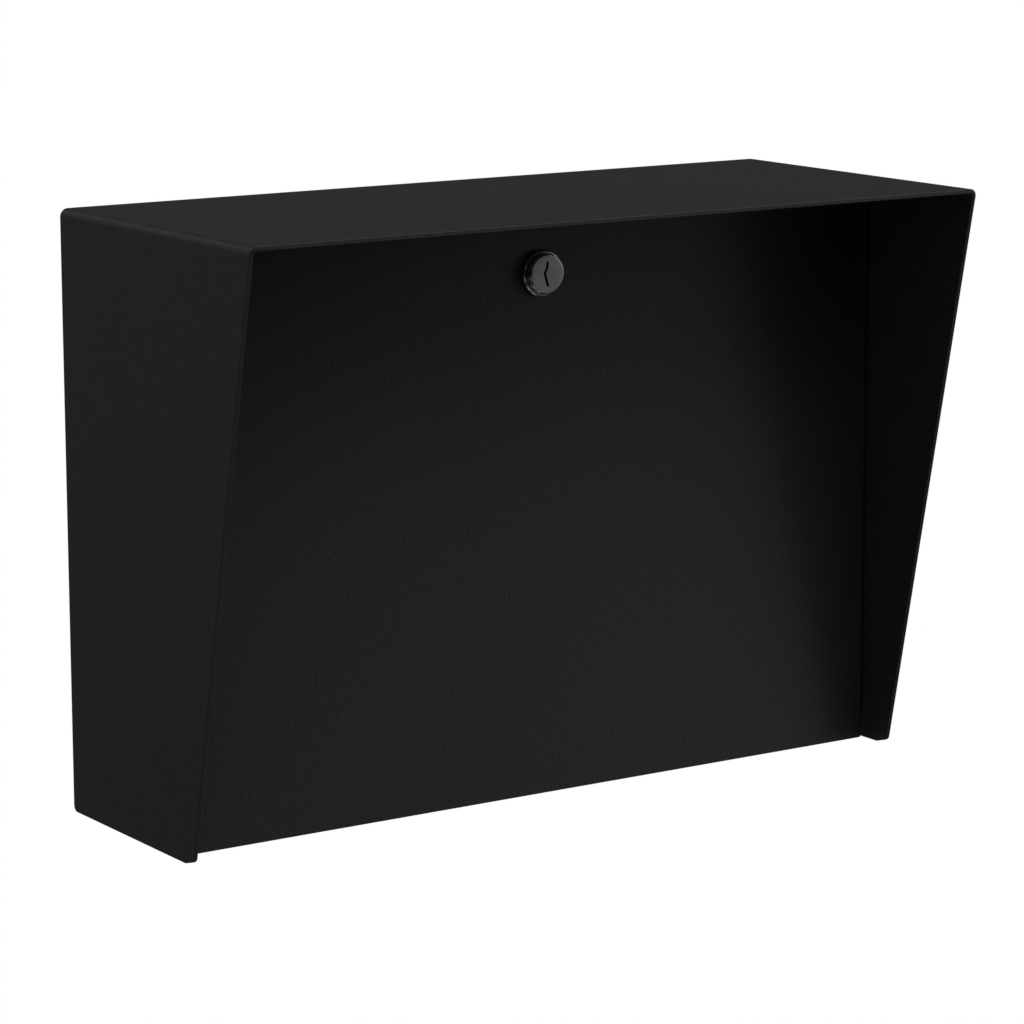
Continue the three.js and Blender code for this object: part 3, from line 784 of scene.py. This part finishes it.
def cross_points(reach, half):
    return [
        (half, half), (half, reach), (-half, reach), (-half, half), (-reach, half), (-reach, -half),
        (-half, -half), (-half, -reach), (half, -reach), (half, -half), (reach, -half), (reach, half),
    ]


def pan_screw(head_radius, head_height, radius, length):
    """A pan-head screw along z, point up, with the underside of its head at z = 0."""
    crown = head_height * 0.55
    flat = head_radius - crown
    profile = [(flat, -head_height)]
    profile += rounded((flat, -head_height + crown), crown, -75, 0)
    profile += [(head_radius, 0), (radius, 0)]
    tip_start = length - radius * 0.4
    for i in range(int(tip_start / SCREW_PITCH)):
        start = i * SCREW_PITCH + SCREW_THREAD_START
        profile += [(radius, start), (radius - SCREW_THREAD_DEPTH, start + SCREW_PITCH / 2)]
    profile += [(radius, tip_start), (radius * 0.7, length), (0, length)]
    bm = bmesh.new()
    spun(bm, profile, Vector((0, 0, 0)), (0, 0, 1), steps=28, closed=False)
    rim = [edge for edge in bm.edges if edge.is_boundary]
    cross = loop_of(bm, [(x, y, -head_height) for x, y in cross_points(flat * 0.8, flat * 0.2)])
    fill_between(bm, rim + cross, (0, 0, -1))
    made = bmesh.ops.extrude_edge_only(bm, edges=cross)["geom"]
    bmesh.ops.translate(bm, verts=only(bmesh.types.BMVert, made), vec=(0, 0, head_height * 0.6))
    bmesh.ops.contextual_create(bm, geom=open_edges(made))
    return bm


def hex_nut(flats, height, bore):
    corner_radius = flats / math.cos(math.pi / 6) / 2
    bm = bmesh.new()
    flat_plate(bm, ring_points(corner_radius, 6), [ring_points(bore, 32)], height)
    return bm


def hinge_fasteners():
    for i in range(1, SCREW_COUNT + 1):
        low, high = box_of(f"hinge_screw_{i}")
        centre = (low + high) / 2
        bm = pan_screw((high.x - low.x) / 2, M4_HEAD, M4_RADIUS, high.z - low.z - M4_HEAD)
        placed(bm, Matrix.Identity(4), (centre.x, centre.y, low.z + M4_HEAD))
        finish_piece(bm, f"floor_screw_{i}", [f"hinge_screw_{i}"], ZINC)
        low, high = box_of(f"hinge_nut_{i}")
        bm = hex_nut(high.y - low.y, high.z - low.z, M4_NUT_BORE)
        placed(bm, Matrix.Identity(4), (centre.x, centre.y, low.z))
        finish_piece(bm, f"floor_nut_{i}", [f"hinge_nut_{i}"], ZINC, edge=M4_NUT_EDGE)


# ---- The cam lock ----------------------------------------------------------------------------


def lock_rim():
    """The rim with the groove round the plug's face, and the threaded, flatted barrel."""
    rim_radius = (housing_high.z - housing_low.z) / 2
    front = housing_low.y
    back = front + RIM_HEIGHT
    barrel_end = housing_high.y - LUG_LENGTH
    bore = PLUG_RADIUS + PLUG_CLEARANCE
    outer, inner = RIM_ROUNDING, RIM_INNER_ROUNDING
    profile = [(bore, front + GROOVE_DEPTH), (GROOVE_RADIUS, front + GROOVE_DEPTH)]
    profile += rounded((GROOVE_RADIUS + inner, front + inner), inner, 180, 270, steps=3)
    profile += rounded((rim_radius - outer, front + outer), outer, 270, 360, steps=7)
    profile += [(rim_radius, back - RIM_BACK_CHAMFER), (rim_radius - RIM_BACK_CHAMFER, back)]
    profile += [(BARREL_RADIUS, back)]
    turns = int((barrel_end - back - THREAD_RUN_OUT) / THREAD_PITCH)
    for i in range(turns):
        start = back + THREAD_START + i * THREAD_PITCH
        profile += [(BARREL_RADIUS, start), (BARREL_RADIUS - THREAD_DEPTH, start + THREAD_PITCH / 2)]
    profile += [(BARREL_RADIUS, barrel_end - BARREL_CHAMFER), (BARREL_RADIUS - BARREL_CHAMFER, barrel_end)]
    profile += [(bore, barrel_end)]
    bm = bmesh.new()
    spun(bm, profile, Vector((0, 0, lock_z)), (0, 1, 0), steps=96)
    for vert in bm.verts:
        if vert.co.y > back + TOLERANCE:
            vert.co.x = within_flats(vert.co.x)
    bmesh.ops.recalc_face_normals(bm, faces=bm.faces)
    add_lug(bm, barrel_end)
    finish_piece(bm, "lock_rim_and_barrel", ["lock_housing"], LOCK, turn_out=False)


def add_lug(bm, barrel_end):
    """The part ring on the barrel's end that stops the turn."""
    inner = PLUG_RADIUS + LUG_CLEARANCE
    steps = 34
    start, end = (math.radians(angle) for angle in LUG_ARC)
    outline = []
    for radius, order in ((BARREL_RADIUS, range(steps + 1)), (inner, range(steps, -1, -1))):
        for i in order:
            angle = start + (end - start) * i / steps
            outline.append((within_flats(radius * math.cos(angle)), radius * math.sin(angle)))
    lug = bmesh.new()
    flat_plate(lug, outline, [], LUG_LENGTH + SINK)
    placed(lug, FACING_Y, (0, barrel_end + LUG_LENGTH, lock_z))
    bmesh.ops.recalc_face_normals(lug, faces=lug.faces)
    merge_into(bm, lug)


def plug():
    """The turning plug: a face with the keyway cut into it, a round body and a square tang."""
    face_radius = (plug_high.z - plug_low.z) / 2
    front = plug_low.y
    face_back = housing_low.y + GROOVE_DEPTH - FACE_BACK_GAP
    barrel_end = housing_high.y - LUG_LENGTH
    profile = rounded((face_radius - FACE_CORNER, front + FACE_CORNER), FACE_CORNER, 270, 360, steps=7)
    profile += [(face_radius, face_back), (PLUG_RADIUS, face_back)]
    profile += [(PLUG_RADIUS, barrel_end), (0, barrel_end)]
    bm = bmesh.new()
    spun(bm, profile, Vector((0, 0, lock_z)), (0, 1, 0), steps=96, closed=False)
    rim = [edge for edge in bm.edges if edge.is_boundary]
    half = KEYWAY_WIDTH / 2
    line = [(x * MM, z * MM) for x, z in KEYWAY_LINE]
    sides = [(x - half, z) for x, z in line] + [(x + half, z) for x, z in reversed(line)]
    keyway = loop_of(bm, [(x, front, lock_z + z) for x, z in sides])
    fill_between(bm, rim + keyway, (0, -1, 0))
    made = bmesh.ops.extrude_edge_only(bm, edges=keyway)["geom"]
    bmesh.ops.translate(bm, verts=only(bmesh.types.BMVert, made), vec=(0, KEYWAY_DEPTH, 0))
    walls = only(bmesh.types.BMFace, made)
    walls += bmesh.ops.contextual_create(bm, geom=open_edges(made))["faces"]
    for face in walls:
        face.material_index = 1
    bmesh.ops.recalc_face_normals(bm, faces=bm.faces)
    tang = bmesh.new()
    half = TANG / 2
    open_box(
        tang,
        Vector((-half, barrel_end - SINK, lock_z - half)),
        Vector((half, plug_high.y, lock_z + half)),
        [],
    )
    merge_into(bm, tang)
    finish_piece(bm, "lock_plug_and_face", ["lock_plug"], LOCK, turn_out=False, extra=[KEYWAY])


def flat_ring(name, node, bore):
    low, high = box_of(node)
    bm = bmesh.new()
    flat_plate(bm, ring_points((high.z - low.z) / 2, 64), [ring_points(bore, 40)], high.y - low.y)
    placed(bm, FACING_Y, (0, high.y, lock_z))
    finish_piece(bm, name, [node], ZINC, edge=PLATED_EDGE)


def cam():
    """A plate with a round hub and a straight arm, on the plug's square tang."""
    low, high = box_of("lock_cam")
    hub = (high.z - low.z) / 2
    joint = math.degrees(math.asin(CAM_HALF_WIDTH / hub))
    outline = [(low.x, CAM_HALF_WIDTH), (low.x, -CAM_HALF_WIDTH)]
    outline += rounded((0, 0), hub, 180 + joint, 540 - joint, steps=24)
    bm = bmesh.new()
    flat_plate(bm, outline, [square_points(TANG / 2 + TANG_CLEARANCE)], high.y - low.y,
               [(0, CAM_TIP_CORNER), (1, CAM_TIP_CORNER)])
    placed(bm, FACING_Y, (0, high.y, lock_z))
    finish_piece(bm, "cam_plate", ["lock_cam"], ZINC, edge=CAM_EDGE)


def turn_stop():
    """The washer on the tang, with the tab that meets the barrel's lug."""
    low, high = box_of("stop_washer")
    outline = rounded((0, 0), -low.x, 165, 195, steps=6)
    outline += rounded((0, 0), (high.z - low.z) / 2, 195, 525, steps=33)
    bm = bmesh.new()
    flat_plate(bm, outline, [square_points(TANG / 2 + TANG_CLEARANCE)], high.y - low.y)
    placed(bm, FACING_Y, (0, high.y, lock_z))
    finish_piece(bm, "turn_stop", ["stop_washer"], ZINC, edge=PLATED_EDGE)


def lock_fasteners():
    barrel_bore = BARREL_RADIUS + BARREL_RING_CLEARANCE
    flat_ring("barrel_washer", "lock_washer", barrel_bore)
    flat_ring("washer_behind_cam", "cam_washer", CAM_WASHER_BORE)
    low, high = box_of("lock_nut")
    bm = hex_nut(high.z - low.z, high.y - low.y, barrel_bore)
    placed(bm, FACING_Y, (0, high.y, lock_z))
    finish_piece(bm, "barrel_nut", ["lock_nut"], ZINC, edge=BARREL_NUT_EDGE)
    low, high = box_of("cam_screw")
    length = high.y - low.y - CAM_SCREW_HEAD
    bm = pan_screw((high.z - low.z) / 2, CAM_SCREW_HEAD, CAM_SCREW_RADIUS, length)
    placed(bm, Matrix.Rotation(math.pi / 2, 4, "X"), (0, high.y - CAM_SCREW_HEAD, lock_z))
    finish_piece(bm, "cam_fixing_screw", ["cam_screw"], ZINC)


# ---- Studio ----------------------------------------------------------------------------------


def studio_floor():
    bm = bmesh.new()
    bmesh.ops.create_grid(bm, x_segments=1, y_segments=1, size=FLOOR_SIZE)
    bmesh.ops.translate(bm, verts=bm.verts, vec=(0, 0, hood_low.z - FLOOR_DROP))
    mesh = bpy.data.meshes.new("studio_floor")
    bm.to_mesh(mesh)
    bm.free()
    material = bpy.data.materials.new("studio_paper")
    material.use_nodes = True
    shader = material.node_tree.nodes["Principled BSDF"]
    shader.inputs["Base Color"].default_value = (0, 0, 0, 1)
    shader.inputs["Roughness"].default_value = 1
    shader.inputs["Specular IOR Level"].default_value = 0
    shader.inputs["Emission Color"].default_value = (1, 1, 1, 1)
    shader.inputs["Emission Strength"].default_value = 1
    mesh.materials.append(material)
    floor = bpy.data.objects.new("studio_floor", mesh)
    bpy.context.scene.collection.objects.link(floor)
    floor.visible_diffuse = False
    floor.visible_glossy = False


def studio_world():
    """White to the camera. The object sees a dim surround with soft glows in it.

    The world's Generated coordinate is the direction that the light comes from.
    """
    world = bpy.data.worlds.new("studio")
    world.use_nodes = True
    bpy.context.scene.world = world
    tree = world.node_tree
    tree.nodes.clear()
    direction = tree.nodes.new("ShaderNodeTexCoord").outputs["Generated"]
    split = tree.nodes.new("ShaderNodeSeparateXYZ")
    tree.links.new(direction, split.inputs["Vector"])

    def step(value, start, end, low, high):
        node = tree.nodes.new("ShaderNodeMapRange")
        node.interpolation_type = "SMOOTHSTEP"
        node.inputs["From Min"].default_value = start
        node.inputs["From Max"].default_value = end
        node.inputs["To Min"].default_value = low
        node.inputs["To Max"].default_value = high
        tree.links.new(value, node.inputs["Value"])
        return node.outputs["Result"]

    def combine(first, second, operation):
        node = tree.nodes.new("ShaderNodeMath")
        node.operation = operation
        tree.links.new(first, node.inputs[0])
        tree.links.new(second, node.inputs[1])
        return node.outputs["Value"]

    parts = []
    for signs, strength in SURROUND:
        level = None
        for axis, sign in zip("XYZ", signs):
            most = strength if level is None else 1
            side = step(split.outputs[axis], -OCTANT_BLEND * sign, OCTANT_BLEND * sign, 0, most)
            level = combine(level, side, "MULTIPLY") if level else side
        parts.append(level)
    for azimuth, elevation, inner, outer, strength in GLOWS:
        turn, rise = math.radians(azimuth), math.radians(elevation)
        toward = tree.nodes.new("ShaderNodeVectorMath")
        toward.operation = "DOT_PRODUCT"
        toward.inputs[1].default_value = (
            math.sin(turn) * math.cos(rise), -math.cos(turn) * math.cos(rise), math.sin(rise)
        )
        tree.links.new(direction, toward.inputs[0])
        edges = math.cos(math.radians(outer)), math.cos(math.radians(inner))
        parts.append(step(toward.outputs["Value"], *edges, 0, strength))
    total = parts[0]
    for part in parts[1:]:
        total = combine(total, part, "ADD")
    surround = tree.nodes.new("ShaderNodeBackground")
    tree.links.new(total, surround.inputs["Strength"])
    white = tree.nodes.new("ShaderNodeBackground")
    white.inputs["Color"].default_value = (1, 1, 1, 1)
    path = tree.nodes.new("ShaderNodeLightPath")
    mix = tree.nodes.new("ShaderNodeMixShader")
    output = tree.nodes.new("ShaderNodeOutputWorld")
    tree.links.new(path.outputs["Is Camera Ray"], mix.inputs["Fac"])
    tree.links.new(surround.outputs["Background"], mix.inputs[1])
    tree.links.new(white.outputs["Background"], mix.inputs[2])
    tree.links.new(mix.outputs["Shader"], output.inputs["Surface"])


def camera():
    azimuth, elevation, roll = (math.radians(angle) for angle in VIEW_ANGLES)
    back = Vector((
        math.sin(azimuth) * math.cos(elevation),
        -math.cos(azimuth) * math.cos(elevation),
        math.sin(elevation),
    ))
    height = hood_high.z - hood_low.z
    across, up = VIEW_TARGET
    target = Vector((across * height, 0, hood_low.z + up * height))
    lens = bpy.data.cameras.new("view")
    lens.lens = VIEW_LENS
    lens.clip_end = VIEW_FAR_END
    eye = bpy.data.objects.new("view", lens)
    eye.location = target + back * VIEW_DISTANCE * height
    eye.rotation_mode = "QUATERNION"
    level = back.to_track_quat("Z", "Y")
    eye.rotation_quaternion = level @ Matrix.Rotation(roll, 3, "Z").to_quaternion()
    bpy.context.scene.collection.objects.link(eye)
    bpy.context.scene.camera = eye


camera()
studio_floor()
studio_world()
bpy.context.scene.view_settings.view_transform = "Standard"

hood_shell()
back_pan()
floor_pan()
for jamb_side, jamb_name in ((-1, "left"), (1, "right")):
    jamb(jamb_side, jamb_name)
    bumper(jamb_name)
catch_rail()
door_pan()
hinge_leaves()
hinge_wire()
hinge_fasteners()
lock_rim()
plug()
cam()
turn_stop()
lock_fasteners()
